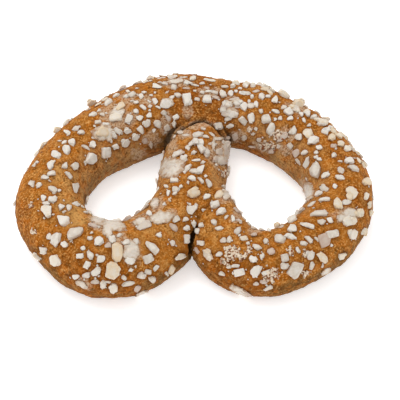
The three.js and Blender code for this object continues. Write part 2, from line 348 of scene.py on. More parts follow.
# Sugar that melted away to a pale haze, with the crust showing through.
HAZE_PATCHES = (
    (183, 133, 26, 14, -10), (200, 125, 30, 11, 5), (138, 153, 20, 15), (165, 129, 14, 14),
    (113, 114, 34, 28, 20), (112, 125, 34, 14), (152, 138, 22, 18), (188, 112, 12, 18),
    (236, 137, 28, 14, 10), (224, 197, 18, 18), (232, 101, 16, 12), (283, 134, 30, 18),
    (177, 83, 36, 12, 5), (209, 92, 28, 12), (296, 109, 26, 14, -20), (167, 119, 14, 18),
    (172, 142, 14, 26), (219, 152, 28, 36), (158, 206, 22, 16, 60), (100, 223, 30, 16, -20),
    (142, 221, 26, 16, 10), (170, 214, 20, 14), (118, 240, 22, 20), (131, 252, 28, 30),
    (304, 190, 16, 28), (284, 150, 24, 12, -30), (262, 147, 26, 12, -20), (236, 216, 12, 18, -30),
    (254, 231, 16, 10), (345, 215, 30, 18), (85, 284, 24, 10, -35), (128, 98, 24, 14), (146, 100, 22, 12),
    (128, 118, 24, 18),
)
# Sugar that boiled and set again as a fine crust full of holes.
BUBBLED_PATCHES = (
    (232, 252, 18, 19), (272, 274, 22, 16, 20), (243, 257, 12, 8, 40), (280, 135, 20, 12),
    (268, 146, 20, 11), (250, 130, 8, 6), (249, 250, 8, 10), (306, 273, 10, 8), (31, 205, 6, 6),
    (34, 232, 8, 6), (225, 262, 12, 6, -30), (305, 254, 8, 8), (290, 250, 7, 12), (223, 174, 8, 8),
    (170, 200, 5, 7),
)

# All random draws follow from this number.
SEED = 7
# How a nib is modelled: its size, its voxels as a share of that, its smoothing and its faces.
NIB_MODEL = 3 * MM
NIB_VARIANTS = 6
NIB_FINENESS = 0.055
NIB_SMOOTHING = 0.5
NIB_ROUNDING = 2
NIB_FACES = 300
CRUMB_FACES = 48
NIB_CREASE = math.radians(38)
CUT_CLOSE = 0.001 * MM
# From where to where a nib's height and middle are painted, as shares of its size.
NIB_HIGH = (-0.3, 0.4)
NIB_MIDDLE = (0.1, 0.45)
# Each form is a small block with corners and sides cut off: the way each cut faces, and how far out
# it lies as a share of half the block.
NIB_CUTS = {
    BLOCK: (
        ((0.08, -0.1, 1), 0.5), ((1, 0.8, 0.1), 0.82), ((-1, 0.6, 0.2), 0.95), ((0.4, -1, 0.2), 0.85),
        ((-0.9, -0.8, 0.1), 0.98), ((1, -0.4, 0.3), 0.95),
    ),
    WEDGE: (
        ((0.1, 0.05, 1), 0.5), ((0.6, 1, 0.1), 0.66), ((0.5, -1, 0.2), 0.7), ((-1, 0.4, 0.3), 0.95),
        ((-0.6, -0.8, 0.2), 1.0), ((1, 0, 0.3), 0.88),
    ),
    LUMP: (
        ((0, 0, 1), 0.5), ((1, 0.9, 0), 0.9), ((-1, 1, 0), 0.82), ((1, -1, 0), 0.95),
        ((-0.8, -1, 0), 0.84), ((1, 0, 1), 0.9), ((-1, 0, 1), 0.95), ((0, 1, 1), 0.86),
        ((0, -1, 1), 0.92),
    ),
    BAR: (
        ((0.05, 0.1, 1), 0.5), ((1, 0.6, 0.2), 0.85), ((-1, 0.5, 0.3), 0.88), ((0.1, 1, 0.5), 0.9),
        ((0, -1, 0.4), 0.9), ((-0.5, -0.9, 0), 0.98),
    ),
}
# How far out of true each cut is, and the smaller blocks grown onto a nib: how many, and how far
# out, how large and how low they are, as shares of the nib.
NIB_JITTER = 0.22
NIB_GROWTHS = {BLOCK: 2, WEDGE: 1, LUMP: 2, BAR: 1}
GROWTH_REACH = (0.3, 0.46)
GROWTH_SIZE = (0.4, 0.62)
GROWTH_LOWER = 0.2
# The unevenness and roughness of a nib, in size and height, as shares of it.
UNEVEN_SIZE = (0.3, 0.5)
UNEVEN_HEIGHT = {BLOCK: 0.08, WEDGE: 0.08, LUMP: 0.15, BAR: 0.08}
ROUGH_SIZE = 0.16
ROUGH_HEIGHT = 0.03

# How a nib lies: its thickness as a share of its shorter side, how much of that is sunk into the
# crust, and how much flatter the cream and clear kinds are.
NIB_THICKNESS = 0.44
NIB_SUNK = 0.24
CREAM_FLATNESS = 0.85
CLEAR_FLATNESS = 0.55
# On crust seen more edge-on than this a nib is set square to the line of sight, and shifted out to
# the outline by at most a share of its shorter side.
EDGE_ON = 0.35
EDGE_SHIFT = 0.25
# Elsewhere a nib is lengthened for the slope of the crust, up to a limit, less what its side adds.
MOST_STRETCH = 1.3
SIDE_SHOWN = 0.38
# Keeps a division from failing where the crust faces the camera squarely.
NOT_ZERO = 1e-6

# Sugar laid about the crust by a seeded scatter: a nib's length, width and height as shares of its
# size, how much they and its tilt vary, how much commoner small ones are, and the faces drawn for each
# nib wanted, since some have no room.
SCATTER_SHAPE = np.array((1.15, 0.85, 0.42))
SCATTER_VARIETY = (0.8, 1.2)
SCATTER_TILT = 0.25
SMALLNESS = 1.6
TRIES = 4
# It lies where the crust faces up, above the tray and outside the creases. The back is what is out of
# view from SCATTER_STAND above the crust. The rim, which is seen edge-on, gets a share of its nibs, and
# small nibs and crumbs in view lie where the crust faces the camera.
TOPPED_FACING = (-0.15, 0.3)
TOPPED_HEIGHT = (5 * MM, 10 * MM)
CREASE_CLEARED = (0.05, 0.3)
SCATTER_STAND = 1.3 * MM
SHOWN_FACING = (0.25, 0.6)
RIM_FACING = (0, 0.3)
RIM_SHARE = 0.6
# Nibs on the back, small nibs on the front and crumbs all over: how many, their smallest and largest
# size, how near other sugar the last two keep, and how close two may lie, as a share of their radii.
BACK_DENSITY = 0.09 / MM ** 2
BACK_SIZES = (1.5 * MM, 3.8 * MM)
BACK_GAP = 0.95
SMALL_NIBS = 60
SMALL_SIZES = (0.9 * MM, 1.7 * MM)
SMALL_REACH = 2.0 * MM
SMALL_GAP = 0.9
CRUMBS = 140
CRUMB_SIZES = (0.35 * MM, 0.8 * MM)
CRUMB_REACH = 1.5 * MM
CRUMB_GAP = 0.8
# How far sugar has run and browned the crust beside each nib, and how far the painted contact shade
# reaches round it.
CARAMEL_REACH = 0.65 * MM

# A sheet of sugar on the crust: how far its rim is sunk, and its thickness.
SHEET_SINK = 0.25 * MM
SHEET_THICKNESS = 0.5 * MM
# A patch takes in crust this many lengths, and this much further, from the crust under its pixel.
PATCH_REACH = 1.1
PATCH_MARGIN = 1 * MM
# The edge of a patch wanders: over what distance, and how far as a share of the patch.
Edge = namedtuple("Edge", "distance share")
FILM_EDGE = Edge(1.6 * MM, 0.22)
FROTH_EDGE = Edge(0.9 * MM, 0.7)
HAZE_EDGE = Edge(1.6 * MM, 0.5)
# The cuts that divide the crust's mesh finer, how far the sugar rises, and how soon, as a share of the
# way in from the edge.
FILM_CUTS = 1
FILM_RISE = 0.4 * MM
FILM_RISEN = 0.22
FROTH_CUTS = 3
FROTH_RISE = 0.25 * MM
FROTH_RISEN = 0.3
# The size and height of the film's ripples, the froth's bubbles and the gaps between them.
RIPPLES = (1.5 * MM, 0.5 * MM)
BUBBLES = (0.62 * MM, 1.0 * MM)
FROTH_GAPS = (1.1 * MM, 1.1 * MM)

# The studio, in metres: a pale floor, a bright sky and a softbox, whose power is in watts.
FLOOR_WIDTH = 3.0
FLOOR_GAP = 0.02 * MM
FLOOR_WHITE = (0.93, 0.93, 0.93, 1)
FLOOR_OFF_WHITE = (0.91, 0.91, 0.91, 1)
FLOOR_GLOW = 0.5
SKY_STRENGTH = 0.9
SKY_COLOUR = (0.975, 0.99, 1, 1)
SOFTBOX_PLACE = (-0.3, 0.3, 0.9)
SOFTBOX_WIDTH = 0.8
SOFTBOX_POWER = 4.2


def only(obj):
    """Leaves nothing but this object selected and active."""
    bpy.ops.object.select_all(action="DESELECT")
    obj.select_set(True)
    bpy.context.view_layer.objects.active = obj


def apply_modifier(obj, kind, **settings):
    """Adds a modifier with these settings and applies it."""
    only(obj)
    bpy.ops.object.modifier_add(type=kind)
    modifier = obj.modifiers[-1]
    for name, value in settings.items():
        setattr(modifier, name, value)
    bpy.ops.object.modifier_apply(modifier=modifier.name)


def roughen(obj, name, kind, size, height, **settings):
    """Moves the surface in and out by a pattern of this kind, size and height."""
    pattern = bpy.data.textures.new(name, kind)
    pattern.noise_scale = size
    for key, value in settings.items():
        setattr(pattern, key, value)
    apply_modifier(obj, "DISPLACE", texture=pattern, texture_coords="LOCAL", strength=height,
                   mid_level=0.5)


def copy_with_mesh(obj, name):
    """A copy with its own mesh and none of the original's custom properties."""
    copy = obj.copy()
    copy.data = obj.data.copy()
    copy.name = name
    copy.data.name = name
    bpy.context.scene.collection.objects.link(copy)
    for key in list(copy.keys()):
        del copy[key]
    return copy


def finish_piece(piece, material):
    """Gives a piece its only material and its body."""
    piece.data.materials.clear()
    piece.data.materials.append(material)
    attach(piece, BODY)


def corners(obj):
    """The mesh's corners as rows of x, y, z."""
    flat = np.empty(len(obj.data.vertices) * 3)
    obj.data.vertices.foreach_get("co", flat)
    return flat.reshape(-1, 3)


def move_corners(obj, places):
    obj.data.vertices.foreach_set("co", places.ravel())
    obj.data.update()


def corner_normals(obj):
    flat = np.empty(len(obj.data.vertices) * 3)
    obj.data.vertex_normals.foreach_get("vector", flat)
    return flat.reshape(-1, 3)


def face_values(obj, name, width=1):
    """A value or a row of values for each face."""
    flat = np.empty(len(obj.data.polygons) * width)
    obj.data.polygons.foreach_get(name, flat)
    return flat.reshape(-1, width) if width > 1 else flat


def paint(obj, name, values):
    """Keeps a number for each corner, for the material to read."""
    attribute = obj.data.attributes.new(name, "FLOAT", "POINT")
    attribute.data.foreach_set("value", np.ascontiguousarray(values, np.float32))


def steps(values, low, high):
    """0 below low, 1 above high and a smooth change between."""
    share = np.clip((values - low) / (high - low), 0, 1)
    return share * share * (3 - 2 * share)


class Neighbours:
    """Averages a value over each corner's neighbours on the mesh."""

    def __init__(self, obj):
        pairs = np.empty(len(obj.data.edges) * 2, np.int64)
        obj.data.edges.foreach_get("vertices", pairs)
        self.one, self.other = pairs.reshape(-1, 2).T
        self.count = len(obj.data.vertices)
        self.links = np.bincount(np.concatenate([self.one, self.other]), minlength=self.count)

    def mean(self, values, times=1):
        for _ in range(times):
            total = np.zeros_like(values)
            np.add.at(total, self.one, values[self.other])
            np.add.at(total, self.other, values[self.one])
            links = self.links if values.ndim == 1 else self.links[:, None]
            values = total / links
        return values


# Places on the dough, found from the photograph.
def sight(x, y):
    """The line of sight through a pixel of the photograph: where it starts and its direction."""
    half = PHOTO_PIXELS / 2
    seen = CAMERA_TARGET + CAMERA_RIGHT * (x - half) * PIXEL + CAMERA_UP * (half - y) * PIXEL
    return CAMERA_PLACE, (seen - CAMERA_PLACE).normalized()


def pixels_of(places):
    """The pixels at which places are seen."""
    ray = places - np.array(CAMERA_PLACE)
    scale = CAMERA_DISTANCE / -(ray @ np.array(CAMERA_BACK)) / PIXEL
    half = PHOTO_PIXELS / 2
    return half + ray @ np.array(CAMERA_RIGHT) * scale, half - ray @ np.array(CAMERA_UP) * scale


def surface_of(obj):
    return BVHTree.FromObject(obj, bpy.context.evaluated_depsgraph_get())


def spot(surface, x, y):
    """The place and normal on the surface under a pixel, or the nearest to it past the outline."""
    start, direction = sight(x, y)
    place, normal, _, _ = surface.ray_cast(start, direction)
    if place is not None:
        return place, normal
    reach = [start + direction * (CAMERA_DISTANCE + step * MM) for step in MISSED_SEARCH]
    found = [surface.find_nearest(point) for point in reach]
    place, normal, _, _ = min(found, key=lambda hit: hit[3])
    return place, normal


def distances(places, x, y, z):
    return np.linalg.norm(places - (x, y, z), axis=1)


def in_view(surface, places):
    """True for each place that the photograph shows."""
    x, y = pixels_of(places)
    seen = []
    for point, across, down in zip(places, x, y):
        start, direction = sight(across, down)
        hit, _, _, distance = surface.ray_cast(start, direction)
        seen.append(hit is None or distance > (Vector(point) - start).length - SEEN_SLACK)
    return np.array(seen)


# The dough.
def plain_dough():
    """A copy of the CAD solid, its loose triangles merged, in a fine even mesh."""
    dough = copy_with_mesh(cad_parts["pretzel"], "dough")
    dough.parent = None
    only(dough)
    bpy.ops.object.mode_set(mode="EDIT")
    bpy.ops.mesh.select_all(action="SELECT")
    bpy.ops.mesh.remove_doubles(threshold=MERGED_CLOSE)
    bpy.ops.object.mode_set(mode="OBJECT")
    apply_modifier(dough, "REMESH", mode="VOXEL", voxel_size=DOUGH_GRAIN)
    apply_modifier(dough, "SMOOTH", factor=SMOOTHING, iterations=FIRST_ROUND)
    return dough


def hollows(dough, near):
    """How strongly each corner lies in the hollow between two strands."""
    places = corners(dough)
    hollow = ((near.mean(places) - places) * corner_normals(dough)).sum(1)
    return steps(near.mean(steps(hollow, *CREASE_HOLLOW), CREASE_SPREAD), *CREASE_EDGE)


def blend_strands(dough, near):
    """Fills the hollow between two strands that have risen into each other."""
    surface = surface_of(dough)
    for x, y, reach, passes in JOINED_PLACES:
        places = corners(dough)
        away = distances(places, *spot(surface, x, y)[0]) / (reach * MM)
        share = np.exp(-away ** 4)[:, None]
        move_corners(dough, places + (near.mean(places, passes) - places) * share)


def points_along(surface, pixels):
    """Close points on the surface, along a line through these pixels."""
    line = []
    for (x0, y0), (x1, y1) in zip(pixels, pixels[1:]):
        count = math.ceil(math.hypot(x1 - x0, y1 - y0) * PIXEL / CREASE_STEP)
        for step in range(count):
            share = step / count
            line.append(spot(surface, x0 + (x1 - x0) * share, y0 + (y1 - y0) * share)[0])
    return line


def carving(dough):
    """How strongly each corner lies in a crease that the photograph shows, which sets the painted shade
    there, and how deep it is sunk.
    """
    surface = surface_of(dough)
    places = corners(dough)
    strength = np.zeros(len(places))
    depth = np.zeros(len(places))
    for pixels, half_width, deepest in CREASES:
        away = np.full(len(places), np.inf)
        for point in points_along(surface, pixels):
            away = np.minimum(away, distances(places, *point))
        share = np.exp(-(away / (half_width * MM)) ** 2)
        strength = np.maximum(strength, share * min(1, deepest / DARKEST_DEPTH))
        depth = np.maximum(depth, share * deepest * MM)
    return strength, depth


def toasting(dough, places):
    """How much darker or paler the crust is baked about the places that show it in the photograph."""
    surface = surface_of(dough)
    total = np.zeros(len(places))
    for x, y, reach, strength in TOASTED_PLACES:
        away = distances(places, *spot(surface, x, y)[0]) / (reach * MM)
        total += strength * np.exp(-away * away)
    return total


def sheltering(places, normals):
    """How squarely each corner faces one of the openings from close by."""
    most = np.zeros(len(places))
    for middle in OPENINGS:
        way = np.array(middle) * MM - places[:, :2]
        away = np.linalg.norm(way, axis=1)
        facing = (normals[:, :2] * way).sum(1) / away
        most = np.maximum(most, steps(facing, *OPENING_FACING) * (1 - steps(away, *OPENING_NEAR)))
    return most


def paint_crust(dough, near, upright, crease):
    """Keeps where the crust is creased (for painted shade), browned, toasted, sheltered, and beside the
    tray, where it is browned and given painted shadow.
    """
    places = corners(dough)
    paint(dough, "crease", crease)
    facing = steps(near.mean(upright, BROWNED_SPREAD), *BROWNED_FACING)
    paint(dough, "browned", steps(places[:, 2], *BROWNED_HEIGHT) * facing)
    paint(dough, "toasted", toasting(dough, places))
    paint(dough, "sheltered", sheltering(places, corner_normals(dough)))
    paler = 1 - UNDERSIDE_PALER * steps(-upright, *UNDERSIDE_FACING)
    # Beside the tray: real browning, and painted shadow under the foot's overhang.
    paint(dough, "tray_browning_and_shadow", (1 - steps(places[:, 2], *TRAY_SIDE)) * paler)


def shape_dough():
    """The dough: the CAD solid with its facets smoothed away, creases sunk and lumps raised."""
    dough = plain_dough()
    near = Neighbours(dough)
    crease = hollows(dough, near)
    apply_modifier(dough, "SMOOTH", factor=SMOOTHING, iterations=SECOND_ROUND)
    blend_strands(dough, near)
    carved, depth = carving(dough)
    normals = corner_normals(dough)
    sink = SHRINKAGE - CREASE_DEPTH * crease * (1 - carved) - depth
    sink -= OPENING_EASE * sheltering(corners(dough), normals)
    move_corners(dough, corners(dough) + normals * sink[:, None])
    for name, size, height in LUMPS:
        roughen(dough, name, "CLOUDS", size, height, noise_depth=2)
    places = corners(dough)
    upright = corner_normals(dough)[:, 2]
    low = places[:, 2] < UNDERSIDE_REACH
    places[:, 2] = np.where(low, np.maximum(places[:, 2], 0), places[:, 2])
    move_corners(dough, places)
    # The crease values set the painted shade in the creases, and keep sugar out of them.
    paint_crust(dough, near, upright, np.maximum(crease * CREASE_SHADE, carved))
    only(dough)
    bpy.ops.object.shade_smooth()
    finish_piece(dough, crust_material())
    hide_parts("pretzel")
    return dough


# The forms of the sugar nibs.
def cut_block(form, size, middle, draw):
    """A block of this size with the form's corners and sides cut off, each a little out of true."""
    bpy.ops.object.select_all(action="DESELECT")
    bpy.ops.mesh.primitive_cube_add(size=size, location=middle)
    block = bpy.context.active_object
    bpy.ops.object.mode_set(mode="EDIT")
    for facing, reach in NIB_CUTS[form]:
        way = Vector(facing).normalized() + Vector(draw.normal(0, NIB_JITTER, 3))
        way.normalize()
        out = Vector(middle) + way * size / 2 * (reach + draw.normal(0, NIB_JITTER / 2))
        bpy.ops.mesh.select_all(action="SELECT")
        bpy.ops.mesh.bisect(plane_co=out, plane_no=way, use_fill=True, clear_outer=True,
                            threshold=CUT_CLOSE)
    bpy.ops.object.mode_set(mode="OBJECT")
    return block


def fit_unit(nib):
    """Stretches a shape to measure one each way about its middle."""
    places = corners(nib)
    low, high = places.min(0), places.max(0)
    move_corners(nib, (places - (low + high) / 2) / (high - low))


def paint_nib(nib):
    """Keeps how high each corner lies and how near the middle it is, for the sugar's colour."""
    places = corners(nib)
    paint(nib, "high", steps(places[:, 2], *NIB_HIGH))
    paint(nib, "inner", 1 - steps(np.hypot(places[:, 0], places[:, 1]), *NIB_MIDDLE))
    nib.data.attributes.new("tone", "FLOAT", "POINT")


def nib_shape(name, form, draw, most_faces):
    """One nib, modelled at 3 mm each way: a cut block with smaller ones grown onto its sides."""
    nib = cut_block(form, NIB_MODEL, (0, 0, 0), draw)
    nib.name = name
    grown = []
    for _ in range(NIB_GROWTHS[form]):
        turn = draw.uniform(0, 2 * math.pi)
        reach = NIB_MODEL * draw.uniform(*GROWTH_REACH)
        down = -NIB_MODEL * draw.uniform(0, GROWTH_LOWER)
        middle = (reach * math.cos(turn), reach * math.sin(turn), down)
        grown.append(cut_block(BLOCK, NIB_MODEL * draw.uniform(*GROWTH_SIZE), middle, draw))
    only(nib)
    for block in grown:
        block.select_set(True)
    bpy.ops.object.join()
    apply_modifier(nib, "REMESH", mode="VOXEL", voxel_size=NIB_MODEL * NIB_FINENESS)
    apply_modifier(nib, "SMOOTH", factor=NIB_SMOOTHING, iterations=NIB_ROUNDING)
    roughen(nib, name + "_unevenness", "CLOUDS", NIB_MODEL * draw.uniform(*UNEVEN_SIZE),
            NIB_MODEL * UNEVEN_HEIGHT[form], noise_depth=1)
    roughen(nib, name + "_roughness", "CLOUDS", NIB_MODEL * ROUGH_SIZE, NIB_MODEL * ROUGH_HEIGHT,
            noise_depth=1)
    faces = len(nib.data.polygons) * 2
    apply_modifier(nib, "DECIMATE", ratio=min(1, most_faces / faces))
    fit_unit(nib)
    only(nib)
    bpy.ops.object.shade_smooth_by_angle(angle=NIB_CREASE)
    paint_nib(nib)
    return nib


def nib_shapes(draw, kind, variants, most_faces):
    """A few shapes of each form."""
    return {
        form: [nib_shape(f"{kind}_{form}_{number}", form, draw, most_faces) for number in range(variants)]
        for form in NIB_CUTS
    }


# Laying the sugar.
def laid(shape, middle, along, across, up, tone):
    """A copy of a shape, with its sides set along three axes of the nib's own size."""
    copy = copy_with_mesh(shape, shape.name)
    axes = Matrix((along, across, up)).transposed().to_4x4()
    copy.data.transform(Matrix.Translation(middle) @ axes)
    tones = np.full(len(copy.data.vertices), tone, np.float32)
    copy.data.attributes["tone"].data.foreach_set("value", tones)
    return copy


def place_nib(surface, nib, shape, flatness, tone):
    """Lays a nib on the crust so that its outline is the one that the photograph shows."""
    place, normal = spot(surface, nib.x, nib.y)
    start, sightline = sight(nib.x, nib.y)
    turn = math.radians(nib.turned)
    length, width = nib.length * PIXEL, nib.width * PIXEL
    along = (CAMERA_RIGHT * math.cos(turn) + CAMERA_UP * math.sin(turn)) * length
    across = (CAMERA_UP * math.cos(turn) - CAMERA_RIGHT * math.sin(turn)) * width
    facing = -sightline.dot(normal)
    if facing <= EDGE_ON:
        seen = start + sightline * (place - start).dot(sightline)
        out = (seen - place).dot(normal)
        most = EDGE_SHIFT * min(length, width)
        middle = place + normal * max(-most, min(out, most))
        deep = -sightline * (length + width) / 2
        return laid(shape, middle, along, across, deep, tone)
    slope = math.sqrt(1 - facing ** 2)
    stretch = min(MOST_STRETCH, 1 / (facing + SIDE_SHOWN * slope))
    axes = []
    for way in (along, across):
        flat = way + sightline * way.dot(normal) / facing
        longer = 1 + (stretch - 1) * (flat.length / way.length - 1) / (1 / facing - 1 + NOT_ZERO)
        axes.append(flat * longer * way.length / flat.length)
    thickness = min(length, width) * NIB_THICKNESS * flatness
    stands = thickness * (1 - NIB_SUNK) / 2
    middle = place - sightline * stands / facing + normal * thickness * (0.5 - NIB_SUNK)
    return laid(shape, middle - normal * stands, *axes, normal * thickness, tone)


def place_nibs(surface, tables, shapes, flatness, draw, taken):
    """Lays all the nibs of a kind, and notes the room that each takes up."""
    placed = []
    for row in (row for region in tables.values() for row in region):
        nib = Nib(*row)
        shape = shapes[nib.form][draw.integers(NIB_VARIANTS)]
        placed.append(place_nib(surface, nib, shape, flatness, draw.random()))
        radius = (nib.length + nib.width) / 4 * PIXEL
        taken.append((*spot(surface, nib.x, nib.y)[0], radius))
    return placed


def nearness(places, taken, reach):
    """How near each place is to the sugar: 1 on it, and less with the distance."""
    share = np.zeros(len(places))
    for *middle, radius in taken:
        away = distances(places, *middle) - radius
        share = np.maximum(share, np.exp(-np.clip(away, 0, None) / reach))
    return share


class Scatter:
    """Lays sugar about the crust in places of its own choosing, clear of the sugar already there."""

    def __init__(self, dough, surface, draw, taken):
        self.draw = draw
        self.taken = taken
        self.middles = face_values(dough, "center", 3)
        self.normals = face_values(dough, "normal", 3)
        self.areas = face_values(dough, "area")
        self.seen = in_view(surface, self.middles + self.normals * SCATTER_STAND)
        upright = steps(self.normals[:, 2], *TOPPED_FACING)
        towards = self.normals @ np.array(CAMERA_BACK)
        self.facing = steps(towards, *SHOWN_FACING)
        self.edge_on = RIM_SHARE * (1 - steps(towards, *RIM_FACING))
        crease = np.empty(len(dough.data.vertices))
        dough.data.attributes["crease"].data.foreach_get("value", crease)
        corner = face_values(dough, "vertices", 4).astype(int)[:, 0]
        clear = 1 - steps(crease[corner], *CREASE_CLEARED)
        self.topping = upright * steps(self.middles[:, 2], *TOPPED_HEIGHT) * clear

    def near_sugar(self, reach):
        return nearness(self.middles, self.taken, reach)

    def lay(self, wanted, count, sizes, gap, shapes):
        """Copies of the shapes, up to a count, of sizes drawn between two, on the faces wanted most."""
        odds = self.areas * wanted
        chosen = self.draw.choice(len(odds), count * TRIES, replace=False, p=odds / odds.sum())
        made = []
        for face in chosen:
            if len(made) == count:
                break
            size = sizes[0] + (sizes[1] - sizes[0]) * self.draw.random() ** SMALLNESS
            others = np.array(self.taken)
            room = distances(others[:, :3], *self.middles[face])
            if (room < (others[:, 3] + size / 2) * gap).any():
                continue
            self.taken.append((*self.middles[face], size / 2))
            made.append(self.lay_one(face, size, shapes))
        return made

    def lay_one(self, face, size, shapes):
        normal = Vector(self.normals[face]).normalized()
        tilt = Vector(self.draw.normal(0, SCATTER_TILT, 3))
        up = (normal + tilt).normalized()
        turned = Vector(self.draw.normal(0, 1, 3))
        along = (turned - up * turned.dot(up)).normalized()
        across = up.cross(along)
        length, width, height = size * SCATTER_SHAPE * self.draw.uniform(*SCATTER_VARIETY, 3)
        middle = Vector(self.middles[face]) + normal * height * (0.5 - NIB_SUNK)
        shape = shapes[self.draw.integers(len(shapes))]
        return laid(shape, middle, along * length, across * width, up * height, self.draw.random())


def join(name, pieces, material):
    """Joins the sugar of one kind to one piece."""
    only(pieces[0])
    for piece in pieces:
        piece.select_set(True)
    bpy.ops.object.join()
    whole = bpy.context.active_object
    whole.name = name
    whole.data.name = name
    finish_piece(whole, material)


def sprinkle_sugar(dough):
    """All the sugar, kind by kind."""
    surface = surface_of(dough)
    draw = np.random.default_rng(SEED)
    shapes = nib_shapes(draw, "nib", NIB_VARIANTS, NIB_FACES)
    crumbs = [form[0] for form in nib_shapes(draw, "crumb", 1, CRUMB_FACES).values()]
    mixed = [shape for form in shapes.values() for shape in form]
    taken = []
    white = place_nibs(surface, WHITE_NIBS, shapes, 1, draw, taken)
    cream = place_nibs(surface, CREAM_NIBS, shapes, CREAM_FLATNESS, draw, taken)
    clear = place_nibs(surface, CLEAR_NIBS, shapes, CLEAR_FLATNESS, draw, taken)
    scatter = Scatter(dough, surface, draw, taken)
    shown = scatter.topping * scatter.facing * scatter.near_sugar(SMALL_REACH) ** 2
    unseen = np.where(scatter.seen, scatter.edge_on, 1.0) * scatter.topping
    many = round((scatter.areas * unseen).sum() * BACK_DENSITY)
    back = scatter.lay(unseen, many, BACK_SIZES, BACK_GAP, mixed)
    small = scatter.lay(shown, SMALL_NIBS, SMALL_SIZES, SMALL_GAP, crumbs)
    dusted = np.where(scatter.seen, scatter.facing, 1.0) * scatter.topping
    dusted *= scatter.near_sugar(CRUMB_REACH) ** 2
    grains = scatter.lay(dusted, CRUMBS, CRUMB_SIZES, CRUMB_GAP, crumbs)
    # Caramel and painted contact shade on the crust beside each nib.
    paint(dough, "caramel_and_nib_shade", nearness(corners(dough), taken, CARAMEL_REACH))
    paint(dough, "hazed", patch_share(dough, surface, HAZE_PATCHES, HAZE_EDGE))
    join("white_nibs", white, sugar_material("white_sugar", WHITE_SUGAR, GREY_SUGAR))
    join("cream_nibs", cream, sugar_material("cream_sugar", CREAM_SUGAR, YELLOW_SUGAR))
    join("clear_nibs", clear, sugar_material("clear_sugar", CLEAR_SUGAR, PINK_SUGAR))
    join("scattered_nibs", back, sugar_material("scattered_sugar", WHITE_SUGAR, CREAM_SUGAR))
    join("sugar_crumbs", small + grains, sugar_material("crumb_sugar", WHITE_SUGAR, CLEAR_SUGAR))
    melt_sugar(dough, surface)
    bubble_sugar(dough, surface)
    for shape in mixed + crumbs:
        bpy.data.objects.remove(shape)


# Sheets of melted and bubbled sugar.
def patch_share(obj, surface, patches, edge):
    """How far inside one of these patches each corner lies: 0 at its rim, 1 at its middle."""
    places = corners(obj)
    x, y = pixels_of(places)
    wander = np.array([noise.noise(Vector(place) / edge.distance) for place in places])
    share = np.zeros(len(places))
    for patch in (Patch(*row) for row in patches):
        place, _ = spot(surface, patch.x, patch.y)
        turn = math.radians(patch.turned)
        right, up = x - patch.x, patch.y - y
        along = (right * math.cos(turn) + up * math.sin(turn)) / (patch.length / 2)
        aside = (up * math.cos(turn) - right * math.sin(turn)) / (patch.width / 2)
        reach = np.hypot(along, aside) + wander * edge.share
        furthest = max(patch.length, patch.width) * PIXEL * PATCH_REACH + PATCH_MARGIN
        share = np.maximum(share, np.where(distances(places, *place) < furthest, 1 - reach, 0))
    return np.clip(share, 0, 1)


def skin_sheet(dough, surface, name, patches, edge, cuts):
    """The crust's own skin within some patches, copied and divided finer."""
    sheet = copy_with_mesh(dough, name)
    outside = patch_share(sheet, surface, patches, edge) <= 0
    only(sheet)
    bpy.ops.object.mode_set(mode="EDIT")
    bpy.ops.mesh.select_mode(type="VERT")
    bpy.ops.mesh.select_all(action="DESELECT")
    bpy.ops.object.mode_set(mode="OBJECT")
    sheet.data.vertices.foreach_set("select", outside)
    bpy.ops.object.mode_set(mode="EDIT")
    bpy.ops.mesh.delete(type="VERT")
    bpy.ops.mesh.select_all(action="SELECT")
    bpy.ops.mesh.subdivide(number_cuts=cuts)
    bpy.ops.object.mode_set(mode="OBJECT")
    return sheet


def raise_sheet(sheet, share, risen, rise):
    """Sinks a sheet's rim into the crust, raises the rest and keeps how thick it is for its colour."""
    lift = steps(share, 0, risen) * (SHEET_SINK + rise) - SHEET_SINK
    move_corners(sheet, corners(sheet) + corner_normals(sheet) * lift[:, None])
    paint(sheet, "thick", share)


def finish_sheet(sheet, material):
    """Thickens a sheet inwards and makes it a finished piece."""
    apply_modifier(sheet, "SOLIDIFY", thickness=SHEET_THICKNESS, offset=-1)
    only(sheet)
    bpy.ops.object.shade_smooth()
    finish_piece(sheet, material)


def melt_sugar(dough, surface):
    """Sugar that melted into a thin grey film on the crust."""
    film = skin_sheet(dough, surface, "melted_sugar", MELTED_PATCHES, FILM_EDGE, FILM_CUTS)
    share = patch_share(film, surface, MELTED_PATCHES, FILM_EDGE)
    raise_sheet(film, share, FILM_RISEN, FILM_RISE)
    roughen(film, "film_ripples", "CLOUDS", *RIPPLES, noise_depth=1)
    finish_sheet(film, melted_material())


def bubble_sugar(dough, surface):
    """Sugar that boiled and set again as a white crust, pitted with burst bubbles."""
    froth = skin_sheet(dough, surface, "bubbled_sugar", BUBBLED_PATCHES, FROTH_EDGE, FROTH_CUTS)
    share = patch_share(froth, surface, BUBBLED_PATCHES, FROTH_EDGE)
    normals = corner_normals(froth)
    raise_sheet(froth, share, FROTH_RISEN, FROTH_RISE)
    before = corners(froth)
    roughen(froth, "bubbles", "VORONOI", *BUBBLES)
    roughen(froth, "froth_gaps", "CLOUDS", *FROTH_GAPS, noise_depth=1)
    paint(froth, "raised", ((corners(froth) - before) * normals).sum(1) / MM)
    finish_sheet(froth, bubbled_material())


